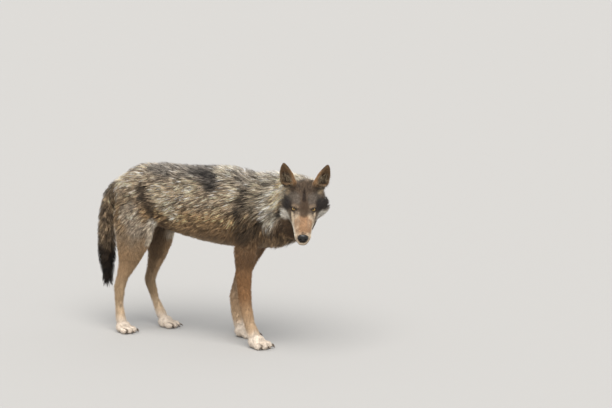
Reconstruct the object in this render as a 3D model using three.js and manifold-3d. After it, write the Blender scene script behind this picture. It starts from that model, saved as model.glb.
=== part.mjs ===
// A standing timber wolf, life size, head turned over its right side and lowered.
// Millimetres, +X towards the chest, +Y to the wolf's left, +Z up, all four soles on Z = 0.
// The outline is the outline of the coat. The body is modelled whole from lofts and lobes,
// joined, then parted with thin plane cuts into the pieces that carry its names.
import * as THREE from "three";
import { mergeVertices } from "three/addons/utils/BufferGeometryUtils.js";
import Module from "manifold-3d";

const wasm = await Module();
wasm.setup();

// ---- driving dimensions -------------------------------------------------------------------

const seam = 0.4; // width of a parting cut, and of the gap round every seated piece

// Trunk, as stations along X: top and bottom of the coat, half its width, and its squareness.
const trunkStations = [
  { name: "buttock", x: -372, top: 678, bottom: 512, half: 66, power: 2.0 },
  { name: "croup", x: -340, top: 698, bottom: 478, half: 96, power: 2.1 },
  { name: "hips", x: -262, top: 720, bottom: 460, half: 117, power: 2.2 },
  { name: "loin", x: -165, top: 729, bottom: 444, half: 115, power: 2.2 },
  { name: "waist", x: -75, top: 730, bottom: 424, half: 120, power: 2.2 },
  { name: "ribs", x: 30, top: 735, bottom: 408, half: 132, power: 2.2 },
  { name: "girth", x: 130, top: 742, bottom: 400, half: 136, power: 2.2 },
  { name: "withers", x: 212, top: 731, bottom: 400, half: 134, power: 2.2 },
  { name: "shoulder", x: 290, top: 724, bottom: 404, half: 127, power: 2.2 },
  { name: "breast", x: 360, top: 716, bottom: 414, half: 112, power: 2.1 },
];

// Neck and ruff, as stations: centre, half height, half width, and the turn about Z.
const neckStations = [
  { name: "root", at: [282, 0, 566], tall: 160, half: 124, turn: 0 },
  { name: "mane", at: [358, 0, 579], tall: 164, half: 119, turn: -10 },
  { name: "ruff", at: [422, -2, 592], tall: 156, half: 113, turn: -28 },
  { name: "throat", at: [462, -26, 605], tall: 139, half: 106, turn: -45 },
  { name: "nape", at: [485, -58, 616], tall: 119, half: 98, turn: -58 },
];

// Head frame: origin midway between the eyes, +X along the muzzle, +Y to its left, +Z up.
const head = {
  at: [546, -125, 610],
  turn: -62,
  nod: 34,
  lean: -3.5,
  eyeSpacing: 80,
  eyeRadius: 12,
  eyeSet: -5,
  nape: -112,
  cut: { turn: -44, nod: 8 },
};
const headStations = [
  { name: "lip", x: 122, top: -25, bottom: -79, half: 22, power: 2.3 },
  { name: "snout", x: 104, top: -17, bottom: -87, half: 32, power: 2.4 },
  { name: "bridge", x: 76, top: -8, bottom: -92, half: 36, power: 2.5 },
  { name: "muzzle", x: 46, top: 1, bottom: -94, half: 40, power: 2.4 },
  { name: "stop", x: 20, top: 11, bottom: -97, half: 49, power: 2.2 },
  { name: "brow", x: -4, top: 27, bottom: -102, half: 63, power: 2.1 },
  { name: "forehead", x: -32, top: 43, bottom: -108, half: 80, power: 2.1 },
  { name: "temple", x: -64, top: 55, bottom: -114, half: 93, power: 2.1 },
  { name: "crown", x: -98, top: 62, bottom: -116, half: 98, power: 2.1 },
  { name: "occiput", x: -132, top: 58, bottom: -110, half: 96, power: 2.1 },
  { name: "scruff", x: -160, top: 44, bottom: -96, half: 88, power: 2.0 },
];
const cheekRuff = { at: [-78, 62, -50], radii: [60, 58, 62] };
const browLobe = { at: [-22, 31, 17], radii: [26, 20, 15] };
const lidOpening = { at: [7, 45, 8], radii: [12, 12, 9.5] };
const nosePad = { at: [124, 0, -36], radii: [14, 20, 15] };

// Ear frame: origin at the middle of its root, +Z to the tip, +X out of the opening.
const ear = {
  root: [-84, 58, 40],
  lean: { out: 17, back: 10, yaw: 24 },
};
const earStations = [
  { name: "root", at: [0, 0, -14], tall: 25, half: 38 },
  { name: "bell", at: [0, 0, 32], tall: 21, half: 37 },
  { name: "blade", at: [-3, 0, 72], tall: 14, half: 31 },
  { name: "shoulder", at: [-5, 0, 101], tall: 8, half: 19 },
  { name: "tip", at: [-6, 0, 116], tall: 5, half: 8 },
];
const earHollow = [
  { name: "well", at: [15, 0, 34], tall: 14, half: 22 },
  { name: "bell", at: [15, 0, 54], tall: 17, half: 26 },
  { name: "blade", at: [8, 0, 84], tall: 10, half: 20 },
  { name: "top", at: [2, 0, 104], tall: 3, half: 8 },
];

// Tail, hanging clear behind the thighs.
const tailStations = [
  { name: "dock", at: [-362, 0, 616], tall: 44, half: 40 },
  { name: "turn", at: [-412, -2, 586], tall: 41, half: 40 },
  { name: "upper", at: [-445, -5, 515], tall: 38, half: 40 },
  { name: "brush", at: [-453, -8, 415], tall: 41, half: 43 },
  { name: "lower", at: [-452, -10, 315], tall: 41, half: 42 },
  { name: "end", at: [-449, -10, 236], tall: 27, half: 28 },
];

// Legs, as stations down the bones: centre, half depth fore and aft, and half width.
const foreLegs = {
  right: {
    side: -1,
    paw: [314, -78, 0],
    toeOut: -7,
    cuts: { middle: 168, low: 62 },
    stations: [
      { name: "shoulder", at: [250, -76, 610], tall: 88, half: 50 },
      { name: "arm", at: [262, -84, 510], tall: 82, half: 51 },
      { name: "elbow", at: [256, -88, 412], tall: 54, half: 43 },
      { name: "forearm", at: [248, -86, 340], tall: 40, half: 34 },
      { name: "shin", at: [246, -82, 256], tall: 33, half: 28 },
      { name: "wrist", at: [252, -79, 168], tall: 29, half: 27 },
      { name: "pastern", at: [268, -78, 100], tall: 25, half: 24 },
      { name: "ankle", at: [288, -78, 50], tall: 28, half: 28 },
    ],
  },
  left: {
    side: 1,
    paw: [166, 78, 0],
    toeOut: 6,
    cuts: { middle: 168, low: 62 },
    stations: [
      { name: "shoulder", at: [250, 76, 610], tall: 88, half: 50 },
      { name: "arm", at: [248, 84, 510], tall: 88, half: 51 },
      { name: "elbow", at: [212, 88, 412], tall: 54, half: 43 },
      { name: "forearm", at: [178, 86, 340], tall: 43, half: 34 },
      { name: "shin", at: [144, 82, 256], tall: 33, half: 28 },
      { name: "wrist", at: [117, 79, 166], tall: 30, half: 27 },
      { name: "pastern", at: [121, 78, 100], tall: 25, half: 24 },
      { name: "ankle", at: [138, 78, 50], tall: 28, half: 28 },
    ],
  },
};
const hindLegs = {
  right: {
    side: -1,
    paw: [-321, -86, 0],
    toeOut: -9,
    cuts: { middle: 188, low: 56 },
    stations: [
      { name: "hip", at: [-262, -62, 610], tall: 88, half: 44 },
      { name: "thigh", at: [-268, -84, 520], tall: 111, half: 56 },
      { name: "stifle", at: [-271, -90, 455], tall: 106, half: 54 },
      { name: "gaskin", at: [-284, -92, 380], tall: 78, half: 43 },
      { name: "shank", at: [-304, -90, 302], tall: 46, half: 30 },
      { name: "tendon", at: [-331, -88, 240], tall: 29, half: 23 },
      { name: "hock", at: [-348, -87, 188], tall: 28, half: 22 },
      { name: "cannon", at: [-350, -87, 118], tall: 20, half: 19 },
      { name: "ankle", at: [-342, -86, 50], tall: 24, half: 24 },
    ],
  },
  left: {
    side: 1,
    paw: [-213, 86, 0],
    toeOut: 8,
    cuts: { middle: 192, low: 56 },
    stations: [
      { name: "hip", at: [-262, 62, 610], tall: 88, half: 44 },
      { name: "thigh", at: [-264, 84, 520], tall: 106, half: 56 },
      { name: "stifle", at: [-260, 90, 455], tall: 92, half: 54 },
      { name: "gaskin", at: [-259, 92, 376], tall: 68, half: 43 },
      { name: "shank", at: [-268, 90, 304], tall: 44, half: 30 },
      { name: "tendon", at: [-288, 88, 244], tall: 30, half: 23 },
      { name: "hock", at: [-302, 87, 194], tall: 28, half: 22 },
      { name: "cannon", at: [-276, 86, 118], tall: 19, half: 18 },
      { name: "ankle", at: [-244, 86, 50], tall: 24, half: 24 },
    ],
  },
};

// Paw frame: origin on the floor under its middle, +X to the toes.
const paw = {
  palm: { at: [-14, 0, 26], radii: [40, 37, 34] },
  middleToe: { at: [31, 14, 15], radii: [27, 14.5, 20], spin: 4 },
  outerToe: { at: [14, 33, 14], radii: [25, 14, 18], spin: 15 },
  foreSize: 1,
  hindSize: 0.9,
  claw: { reach: 15, radius: 4.4, droop: 8, rise: 1 },
};

// Parting planes: where each starts, which way its piece lies, and how far it reaches.
const neckCut = { point: [300, 0, 580], direction: [0.894, 0, 0.447], size: [500, 900, 900] };
const tailCut = { point: [-403, 0, 450], direction: [-1, 0, 0], size: [300, 300, 900] };
const foreCut = { point: [240, 0, 397], direction: [0, 0, -1], size: [420, 500, 700] };
const hindCut = { point: [-275, 0, 495], direction: [-0.461, 0, -0.887], size: [800, 500, 700] };

const coats = {
  flesh: { color: 0x8b7d6c, roughness: 0.92, metalness: 0 },
  leg: { color: 0xb08a62, roughness: 0.9, metalness: 0 },
  foot: { color: 0xd9cdbd, roughness: 0.9, metalness: 0 },
  tail: { color: 0x4c443e, roughness: 0.94, metalness: 0 },
  ear: { color: 0x7d5a3c, roughness: 0.9, metalness: 0 },
  nose: { color: 0x17161a, roughness: 0.42, metalness: 0 },
  eye: { color: 0xb98a3a, roughness: 0.08, metalness: 0 },
  claw: { color: 0x2b2521, roughness: 0.45, metalness: 0 },
};

// ---- solids from three.js geometry --------------------------------------------------------

const radians = THREE.MathUtils.degToRad;

// A closed geometry as a manifold solid.
function solidOf(geometry) {
  const bare = geometry.clone();
  bare.deleteAttribute("normal");
  bare.deleteAttribute("uv");
  const merged = mergeVertices(bare, 1e-3);
  const solid = new wasm.Manifold(
    new wasm.Mesh({
      numProp: 3,
      vertProperties: new Float32Array(merged.attributes.position.array),
      triVerts: new Uint32Array(merged.index.array),
    }),
  );
  return solid;
}

function geometryOf(solid) {
  const mesh = solid.getMesh();
  const geometry = new THREE.BufferGeometry();
  geometry.setAttribute("position", new THREE.BufferAttribute(mesh.vertProperties, 3));
  geometry.setIndex(new THREE.BufferAttribute(mesh.triVerts, 1));
  geometry.computeVertexNormals();
  return geometry;
}

const joined = (solids) => solids.reduce((sum, next) => sum.add(next));
const moved = (solid, matrix) => solidOf(geometryOf(solid).applyMatrix4(matrix));

// An ellipsoid, turned about Z by spin degrees.
function lobe({ at, radii, spin = 0 }, { grow = 0, around = 16, down = 10 } = {}) {
  const geometry = new THREE.SphereGeometry(1, around, down);
  geometry.scale(radii[0] + grow, radii[1] + grow, radii[2] + grow);
  geometry.rotateZ(radians(spin));
  return solidOf(geometry.translate(...at));
}

// A lobe carried across to one side of the body.
const sided = ({ at, radii, spin = 0 }, side) => ({
  at: [at[0], side * at[1], at[2]],
  radii,
  spin: side * spin,
});

// A smooth curve through the same three values of every station.
const spline = (stations, pick) =>
  new THREE.CatmullRomCurve3(stations.map((s) => new THREE.Vector3(...pick(s))), false, "centripetal");

// A loft of superellipse rings along stations, closed by a dome at each end. A station gives its
// centre, its half sizes tall and half, its squareness, and the turn of its side axis about Z.
function loft(stations, options) {
  const { sides, perSpan = 2, grow = 0, domes = [0.5, 0.5], shrinks = [0.5, 0.87] } = options;
  const centres = spline(stations, (s) => s.at);
  const sizes = spline(stations, (s) => [s.tall + grow, s.half + grow, s.power ?? 2]);
  const turns = spline(stations, (s) => [s.turn ?? 0, s.at[0], s.at[2]]);
  const points = [];
  const spine = (t, push) => {
    const size = sizes.getPoint(t);
    const along = centres.getTangent(t);
    const centre = centres.getPoint(t).addScaledVector(along, push * Math.min(size.x, size.y));
    return { size, along, centre };
  };
  const addRing = (t, shrink, push) => {
    const { size, along, centre } = spine(t, push);
    const turn = radians(turns.getPoint(t).x);
    const side = new THREE.Vector3(-Math.sin(turn), Math.cos(turn), 0);
    side.addScaledVector(along, -side.dot(along)).normalize();
    const up = new THREE.Vector3().crossVectors(along, side);
    const bend = (v) => Math.sign(v) * Math.abs(v) ** (2 / size.z) * shrink;
    for (let i = 0; i < sides; i++) {
      const angle = (2 * Math.PI * (i + 0.5)) / sides;
      const point = centre.clone().addScaledVector(side, bend(Math.cos(angle)) * size.y);
      points.push(point.addScaledVector(up, bend(Math.sin(angle)) * size.x));
    }
  };
  const dome = (t, shrink, depth) => addRing(t, shrink, depth * Math.sqrt(1 - shrink ** 2));
  shrinks.forEach((shrink) => dome(0, shrink, -domes[0]));
  const spans = (stations.length - 1) * perSpan;
  for (let i = 0; i <= spans; i++) addRing(i / spans, 1, 0);
  [...shrinks].reverse().forEach((shrink) => dome(1, shrink, domes[1]));
  points.push(spine(0, -domes[0]).centre, spine(1, domes[1]).centre);
  return solidOf(skinOf(points, sides));
}

// The surface over equal rings of points, whose last two points are its poles.
function skinOf(points, sides) {
  const [firstPole, lastPole] = [points.length - 2, points.length - 1];
  const rings = (points.length - 2) / sides;
  const index = [];
  for (let i = 0; i < sides; i++) {
    const j = (i + 1) % sides;
    index.push(firstPole, j, i);
    index.push(lastPole, (rings - 1) * sides + i, (rings - 1) * sides + j);
    for (let low = 0; low < (rings - 1) * sides; low += sides)
      index.push(low + i, low + j, low + sides + j, low + i, low + sides + j, low + sides + i);
  }
  return new THREE.BufferGeometry().setFromPoints(points).setIndex(index);
}

// A station given by its top and bottom becomes one given by its centre and half height.
const profiled = (stations) =>
  stations.map((s) => ({
    ...s,
    at: [s.x, 0, (s.top + s.bottom) / 2],
    tall: (s.top - s.bottom) / 2,
  }));

// A box that starts at a point and reaches length along a direction, grown by a gap all round.
function block({ point, direction, size: [length, width, height] }, gap = 0) {
  const geometry = new THREE.BoxGeometry(length + 2 * gap, width + 2 * gap, height + 2 * gap);
  geometry.translate(length / 2, 0, 0);
  const forward = new THREE.Vector3(1, 0, 0);
  const way = new THREE.Vector3(...direction).normalize();
  geometry.applyQuaternion(new THREE.Quaternion().setFromUnitVectors(forward, way));
  return solidOf(geometry.translate(...point));
}

// Parts a solid by a block: the piece inside it, and the rest with a seam between.
const parted = (solid, cut) => ({
  piece: solid.intersect(block(cut)),
  rest: solid.subtract(block(cut, seam)),
});

// ---- frames -------------------------------------------------------------------------------

const headMatrix = new THREE.Matrix4()
  .makeRotationFromEuler(
    new THREE.Euler(radians(head.lean), radians(head.nod), radians(head.turn), "ZYX"),
  )
  .setPosition(...head.at);

function earMatrix(side) {
  const { out, back, yaw } = ear.lean;
  const turn = new THREE.Euler(radians(-side * out), radians(-back), radians(side * yaw), "XYZ");
  const local = new THREE.Matrix4().makeRotationFromEuler(turn);
  local.setPosition(ear.root[0], side * ear.root[1], ear.root[2]);
  return headMatrix.clone().multiply(local);
}

function pawMatrix(leg, size) {
  const turn = new THREE.Matrix4().makeRotationZ(radians(leg.toeOut));
  return turn.scale(new THREE.Vector3(size, size, size)).setPosition(...leg.paw);
}

// ---- the body in the round ----------------------------------------------------------------

function skull(grow = 0) {
  const lobes = [-1, 1].flatMap((side) => [
    lobe(sided(cheekRuff, side), { grow, around: 10, down: 6 }),
    lobe(sided(browLobe, side), { grow, around: 8, down: 6 }),
  ]);
  const core = loft(profiled(headStations), { sides: 18, perSpan: 1, grow, domes: [0.6, 0.55] });
  return moved(joined([core, ...lobes]), headMatrix);
}

const neckLoft = (grow = 0) => loft(neckStations, { sides: 16, grow, domes: [0.3, 0.3] });
const legLoft = (leg) => loft(leg.stations, { sides: 12, perSpan: 1, domes: [0.3, 0.4] });
const allLegs = [...Object.values(foreLegs), ...Object.values(hindLegs)];
const body = joined([
  loft(profiled(trunkStations), { sides: 16 }),
  neckLoft(),
  skull(),
  loft(tailStations, { sides: 12, domes: [0.5, 1.9] }),
  ...allLegs.map(legLoft),
]);

// An ear shell with a deep opening in front.
function earSolid(side) {
  const shape = { perSpan: 1, shrinks: [0.8] };
  const outer = loft(earStations, { ...shape, sides: 10, domes: [0.3, 0.9] });
  const inner = loft(earHollow, { ...shape, sides: 8, domes: [0.4, 0.8] });
  return moved(outer.subtract(inner), earMatrix(side));
}

const toes = [
  { name: "outer_right", ...sided(paw.outerToe, -1) },
  { name: "inner_right", ...sided(paw.middleToe, -1) },
  { name: "inner_left", ...paw.middleToe },
  { name: "outer_left", ...paw.outerToe },
];

const pawSolid = (matrix, grow = 0) =>
  moved(
    joined([
      lobe(paw.palm, { grow, around: 8, down: 5 }),
      ...toes.map((toe) => lobe(toe, { grow, around: 6, down: 5 })),
    ]),
    matrix,
  );

// A claw leaves the front of its toe and bends towards the floor.
function clawSolid(toe, matrix) {
  const { radius, reach, droop, rise } = paw.claw;
  const stations = [
    { at: [-4, 0, 0], tall: radius, half: radius * 0.75 },
    { at: [reach * 0.55, 0, -droop * 0.2], tall: radius * 0.8, half: radius * 0.55 },
    { at: [reach, 0, -droop], tall: radius * 0.25, half: radius * 0.2 },
  ];
  const claw = loft(stations, { sides: 5, perSpan: 1, domes: [0.1, 0.5], shrinks: [] });
  const local = new THREE.Matrix4().makeRotationZ(radians(toe.spin));
  const root = toe.radii[0] - 5;
  local.setPosition(
    toe.at[0] + root * Math.cos(radians(toe.spin)),
    toe.at[1] + root * Math.sin(radians(toe.spin)),
    toe.at[2] + rise,
  );
  return moved(claw, matrix.clone().multiply(local));
}

function eyeSolid(side, grow = 0) {
  const radius = head.eyeRadius + grow;
  const at = [head.eyeSet, (side * head.eyeSpacing) / 2, 0];
  return moved(lobe({ at, radii: [radius, radius, radius] }, { around: 10, down: 7 }), headMatrix);
}

const noseSolid = (grow = 0) => moved(lobe(nosePad, { grow, around: 10, down: 7 }), headMatrix);

// ---- the named pieces ---------------------------------------------------------------------

const wolf = new THREE.Group();
const underFloor = block({ point: [0, 0, 0], direction: [0, 0, -1], size: [200, 3000, 3000] });

function addPiece(name, solid, coat) {
  const mesh = new THREE.Mesh(geometryOf(solid), new THREE.MeshStandardMaterial(coats[coat]));
  mesh.name = name;
  wolf.add(mesh);
}

// The half of a solid on one side of the middle plane, short of it by half a seam.
const halved = (solid, side) =>
  solid.intersect(
    block({ point: [0, (side * seam) / 2, 0], direction: [0, side, 0], size: [600, 3000, 3000] }),
  );

// A leg comes apart at its wrist or hock and again above its paw.
function addLeg(name, leg, size, solid) {
  const matrix = pawMatrix(leg, size);
  const limb = solid.add(pawSolid(matrix)).subtract(underFloor);
  const level = (height) => ({
    point: [leg.paw[0], leg.paw[1], height],
    direction: [0, 0, -1],
    size: [600, 280, 600],
  });
  const upper = parted(limb, level(leg.cuts.middle));
  const lower = parted(upper.piece, level(leg.cuts.low));
  addPiece(`${name}_upper`, upper.rest, "leg");
  addPiece(`${name}_lower`, lower.rest, "leg");
  addPiece(`${name}_paw`, lower.piece, "foot");
  const seat = pawSolid(matrix, seam).add(solid);
  for (const toe of toes)
    addPiece(`${name}_claw_${toe.name}`, clawSolid(toe, matrix).subtract(seat), "claw");
}

const withHead = parted(body, headCut());
const withNeck = parted(withHead.rest, neckCut);
const withTail = parted(withNeck.rest, tailCut);
const withFore = parted(withTail.rest, foreCut);
const withHind = parted(withFore.rest, hindCut);

// The head is cut off behind the ears by a steep plane that clears the chest.
function headCut() {
  const point = new THREE.Vector3(head.nape, 0, 0).applyMatrix4(headMatrix).toArray();
  const steep = new THREE.Euler(0, radians(head.cut.nod), radians(head.cut.turn), "ZYX");
  const direction = new THREE.Vector3(1, 0, 0).applyEuler(steep).toArray();
  return { point, direction, size: [420, 600, 600] };
}

const opening = (side) =>
  moved(lobe(sided(lidOpening, side), { around: 9, down: 6 }), headMatrix);
const seats = [noseSolid(seam), ...[-1, 1].flatMap((side) => [eyeSolid(side, seam), opening(side)])];
const earSeat = skull(seam).add(neckLoft(seam));
addPiece("head", withHead.piece.subtract(joined(seats)), "flesh");
addPiece("nose", noseSolid(), "nose");
addPiece("eye_right", eyeSolid(-1), "eye");
addPiece("eye_left", eyeSolid(1), "eye");
addPiece("ear_right", earSolid(-1).subtract(earSeat), "ear");
addPiece("ear_left", earSolid(1).subtract(earSeat), "ear");
addPiece("neck", withNeck.piece, "flesh");
addPiece("trunk", withHind.rest, "flesh");
addPiece("tail", withTail.piece, "tail");
for (const [side, sign] of [
  ["right", -1],
  ["left", 1],
]) {
  addLeg(`foreleg_${side}`, foreLegs[side], paw.foreSize, halved(withFore.piece, sign));
  addLeg(`hindleg_${side}`, hindLegs[side], paw.hindSize, halved(withHind.piece, sign));
}

// The origin goes to the middle of the footprint of the whole wolf.
const bounds = new THREE.Box3().setFromObject(wolf);
const middle = bounds.getCenter(new THREE.Vector3());
for (const mesh of wolf.children) mesh.geometry.translate(-middle.x, -middle.y, 0);

export default wolf;
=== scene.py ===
import math
from itertools import product

import bpy
import numpy as np
from mathutils import Matrix, Vector
from mathutils.bvhtree import BVHTree
from mathutils.kdtree import KDTree


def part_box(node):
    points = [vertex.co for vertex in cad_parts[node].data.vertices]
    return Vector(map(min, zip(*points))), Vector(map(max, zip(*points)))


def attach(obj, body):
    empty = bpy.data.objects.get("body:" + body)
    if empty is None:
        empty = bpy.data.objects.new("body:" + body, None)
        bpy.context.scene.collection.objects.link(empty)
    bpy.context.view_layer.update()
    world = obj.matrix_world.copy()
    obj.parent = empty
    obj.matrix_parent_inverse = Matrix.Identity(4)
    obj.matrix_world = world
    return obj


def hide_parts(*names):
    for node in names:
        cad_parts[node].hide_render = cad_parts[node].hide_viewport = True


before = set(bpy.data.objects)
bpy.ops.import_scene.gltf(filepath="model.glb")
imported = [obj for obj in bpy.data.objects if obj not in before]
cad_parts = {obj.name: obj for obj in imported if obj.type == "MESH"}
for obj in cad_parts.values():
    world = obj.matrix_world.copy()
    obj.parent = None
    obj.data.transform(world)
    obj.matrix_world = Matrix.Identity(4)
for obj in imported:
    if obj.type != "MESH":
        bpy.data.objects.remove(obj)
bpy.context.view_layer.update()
bpy.ops.object.select_all(action="DESELECT")
rng = np.random.default_rng(11)


def unit(v):
    return v / np.maximum(np.linalg.norm(v, axis=-1, keepdims=True), 1e-12)


def ease(low, high, x):
    t = np.clip((x - low) / (high - low), 0, 1)
    return t * t * (3 - 2 * t)


def between(a, b, share):
    return a + (b - a) * np.asarray(share)[..., None]


def linear(colour):
    c = np.asarray(colour, float) / 255
    return np.where(c <= 0.04045, c / 12.92, ((c + 0.055) / 1.055) ** 2.4)


def latticeValue(cells, seed):
    mixed = cells[..., 0] * 73856093 ^ cells[..., 1] * 19349663 ^ cells[..., 2] * 83492791
    mixed = (mixed + seed * 977) & 0x7FFFFFFF
    mixed = ((mixed ^ (mixed >> 13)) * 1274126177) & 0x7FFFFFFF
    return ((mixed ^ (mixed >> 16)) & 0xFFFF) / 32767.5 - 1


def noise(points, size, seed=0):
    # smooth noise from -1 to 1, whose bumps are about size across
    scaled = points / size
    cell = np.floor(scaled).astype(np.int64)
    part = scaled - cell
    part = part * part * (3 - 2 * part)
    total = 0
    for corner in product((0, 1), repeat=3):
        step = np.array(corner)
        weight = np.prod(np.where(step == 1, part, 1 - part), axis=-1)
        total = total + weight * latticeValue(cell + step, seed)
    return total


# the body's frame stands under the shoulders, the head's between the eyes with its X along the muzzle
frameSet = {
    "shoulders": 0.4026,  # ahead of the trunk's back end
    "eyesBack": 0.005,
    "noseAhead": 0.129,
    "noseBelow": 0.036,
}
trunkLow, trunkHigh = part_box("trunk")
bodyOrigin = np.array([trunkLow.x + frameSet["shoulders"], (trunkLow.y + trunkHigh.y) / 2, 0])


def boxMiddle(node):
    low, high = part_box(node)
    return np.array((low + high) / 2)


def headFrame():
    right, left, nose = (boxMiddle(n) for n in ("eye_right", "eye_left", "nose"))
    middle = (right + left) / 2
    side = unit(left - right)
    toNose = nose - middle
    toNose = unit(toNose - side * (toNose @ side))
    across = np.cross(toNose, side)
    dip = math.atan2(frameSet["noseBelow"], frameSet["noseAhead"])
    forward = math.cos(dip) * toNose + math.sin(dip) * across
    return middle + forward * frameSet["eyesBack"], np.array([forward, side, np.cross(forward, side)])


headOrigin, headAxes = headFrame()


def onBody(points):
    return points - bodyOrigin


def onHead(points):
    return (points - headOrigin) @ headAxes.T


def fromHead(vectors):
    return np.asarray(vectors) @ headAxes


earSet = {"root": (-0.084, 0.058, 0.040), "out": 17, "back": 10, "yaw": 24}


def earFrame(side):
    # rows point out of the opening, across and to the tip, in the head's frame
    turn = (
        Matrix.Rotation(math.radians(-side * earSet["out"]), 3, "X")
        @ Matrix.Rotation(math.radians(-earSet["back"]), 3, "Y")
        @ Matrix.Rotation(math.radians(side * earSet["yaw"]), 3, "Z")
    )
    return np.array(earSet["root"]) * (1, side, 1), np.array(turn).T


earFrames = {side: earFrame(side) for side in (-1, 1)}


def onEar(local, side):
    root, axes = earFrames[side]
    return (local - root) @ axes.T


eyeShape = {
    "radius": 0.0118,
    "facing": (0.78, 0.34, 0.52),  # out of the middle of the opening
    "outward": (-0.42, 0.86, 0.22),  # towards its outer corner
    "gaze": (0.74, 0.04, 0.67),
    "widest": -0.12,  # where the opening is highest, as a share of its half length
    "outerRoundness": 0.85,
    "halfLong": 0.0104,
    "above": 0.0055,
    "below": 0.0050,
    "lid": 0.0013,
    "lidReach": 0.024,
}
eyePlaces = {side: onHead(boxMiddle(node)) for side, node in ((-1, "eye_right"), (1, "eye_left"))}


def eyeDistance(local):
    return np.minimum(*(np.linalg.norm(local - eyePlaces[side], axis=1) for side in (-1, 1)))


def lidGap(local, side):
    # how far a place is outside the opening between the lids, seen from the middle of the eye
    mirror = np.array([1, side, 1])
    facing = unit(np.array(eyeShape["facing"])) * mirror
    outward = np.array(eyeShape["outward"]) * mirror
    outward = unit(outward - facing * (outward @ facing))
    upward = side * np.cross(facing, outward)
    away = unit(local - eyePlaces[side])
    across = (away @ outward) * eyeShape["radius"] / eyeShape["halfLong"]
    high = (away @ upward) * eyeShape["radius"]
    widest = eyeShape["widest"]
    room = 1 - (across - widest) ** 2 * np.where(across < widest, 1.0, eyeShape["outerRoundness"])
    gap = np.maximum(high - eyeShape["above"] * room, -high - eyeShape["below"] * room)
    return np.where(away @ facing > 0.1, gap * 0.85, 1.0)


noseSet = {"back": 0.0065, "down": 0.0065, "bare": (0.0165, 0.0212, 0.0190)}
nosePlace = onHead(boxMiddle("nose")) - (noseSet["back"], 0, noseSet["down"])


def fromNose(local):
    # 1 at the edge of the bare skin round the nose
    return np.linalg.norm((local - nosePlace) / np.array(noseSet["bare"]), axis=1)


mouthLine = {
    "front": 0.126, "corner": 0.014, "frontHeight": -0.070, "cornerHeight": -0.076, "upturn": 0.006,
    "ahead": 0.15,  # nothing of the mouth is further forward
}


def overMouth(local):
    # height above the line of the mouth, and how much of the mouth is there
    along = (local[:, 0] - mouthLine["corner"]) / (mouthLine["front"] - mouthLine["corner"])
    line = mouthLine["cornerHeight"] + (mouthLine["frontHeight"] - mouthLine["cornerHeight"]) * along
    line = line + mouthLine["upturn"] * ease(0.2, -0.1, along)
    return local[:, 2] - line, ease(-0.02, 0.08, along)


# painted shade in the gaps between the toes
toeGapShade = {"front": 0.004, "back": 0.032, "wide": 0.0036, "high": 0.038, "share": 0.8}


def betweenToes():
    # the lines between the toes that take painted shade, from their front ends back, in x and y of the body
    gaps = []
    for leg in ("foreleg_right", "foreleg_left", "hindleg_right", "hindleg_left"):
        heel = onBody(boxMiddle(f"{leg}_paw"))[:2]
        claws = [onBody(boxMiddle(f"{leg}_claw_{toe}"))[:2]
                 for toe in ("outer_right", "inner_right", "inner_left", "outer_left")]
        back = unit(heel - np.mean(claws, axis=0))
        for a, b in zip(claws, claws[1:]):
            gaps.append([(a + b) / 2 + toeGapShade[end] * back for end in ("front", "back")])
    return gaps


toeGaps = betweenToes()

# the regions, as weights from 0 to 1
borders = {
    "nape": (-0.112, 0, 0),  # in the head's frame
    "napeFacing": (0.712, -0.688, -0.139),
    "neckRoot": (0.300, 0, 0.580),
    "neckFacing": (0.894, 0, 0.447),
    "tail": (-0.385, -0.425),
    "foreleg": (0.53, 0.37),
    "hindleg": (0.50, 0.38),
    "front": -0.02,  # the forelegs stand ahead of this
    "earTop": (0.006, 0.026),
    "earAround": (0.075, 0.055),
}


def regionsAt(points):
    body, local = onBody(points), onHead(points)
    x, _, z = body.T
    nape = headOrigin - bodyOrigin + fromHead(borders["nape"])
    beyondNape = (body - nape) @ np.array(borders["napeFacing"])
    ear = np.zeros(len(points))
    for side in (-1, 1):
        e = onEar(local, side)
        around = np.linalg.norm(e[:, :2], axis=1)
        inside = ease(*borders["earTop"], e[:, 2]) * ease(*borders["earAround"], around)
        ear = np.maximum(ear, inside * (local[:, 1] * side > 0) * (local[:, 2] > 0.03))
    head = ease(-0.02, 0.03, beyondNape) * (1 - ear) * ease(0.36, 0.40, z)
    beyondNeck = (body - np.array(borders["neckRoot"])) @ np.array(borders["neckFacing"])
    neck = ease(-0.05, 0.05, beyondNeck) * (1 - head) * (1 - ear) * ease(0.40, 0.44, z)
    tail = ease(*borders["tail"], x) * ease(0.12, 0.16, z)
    front = x > borders["front"]
    leg = np.where(front, ease(*borders["foreleg"], z), ease(*borders["hindleg"], z))
    leg = leg * (1 - tail) * (1 - head) * (1 - neck)
    return {
        "body": body, "local": local, "head": head, "ear": ear, "neck": neck, "tail": tail,
        "leg": leg, "front": front,
    }


# how far the skin lies under the tips of the coat. The names in more and less change the one before.
depths = {
    "trunk": 0.021, "moreBack": 0.006, "moreChest": 0.006, "foreleg": 0.0045, "moreArm": 0.014,
    "hindleg": 0.005, "moreThigh": 0.015, "lessPaw": 0.002, "tail": 0.020, "lessTailTip": 0.006,
    "neck": 0.031, "face": 0.0026, "moreCrown": 0.006, "moreCheek": 0.013, "moreJaw": 0.010, "ear": 0.0016,
    "lessAtEye": 0.6,  # as a share of the face's
}


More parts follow.
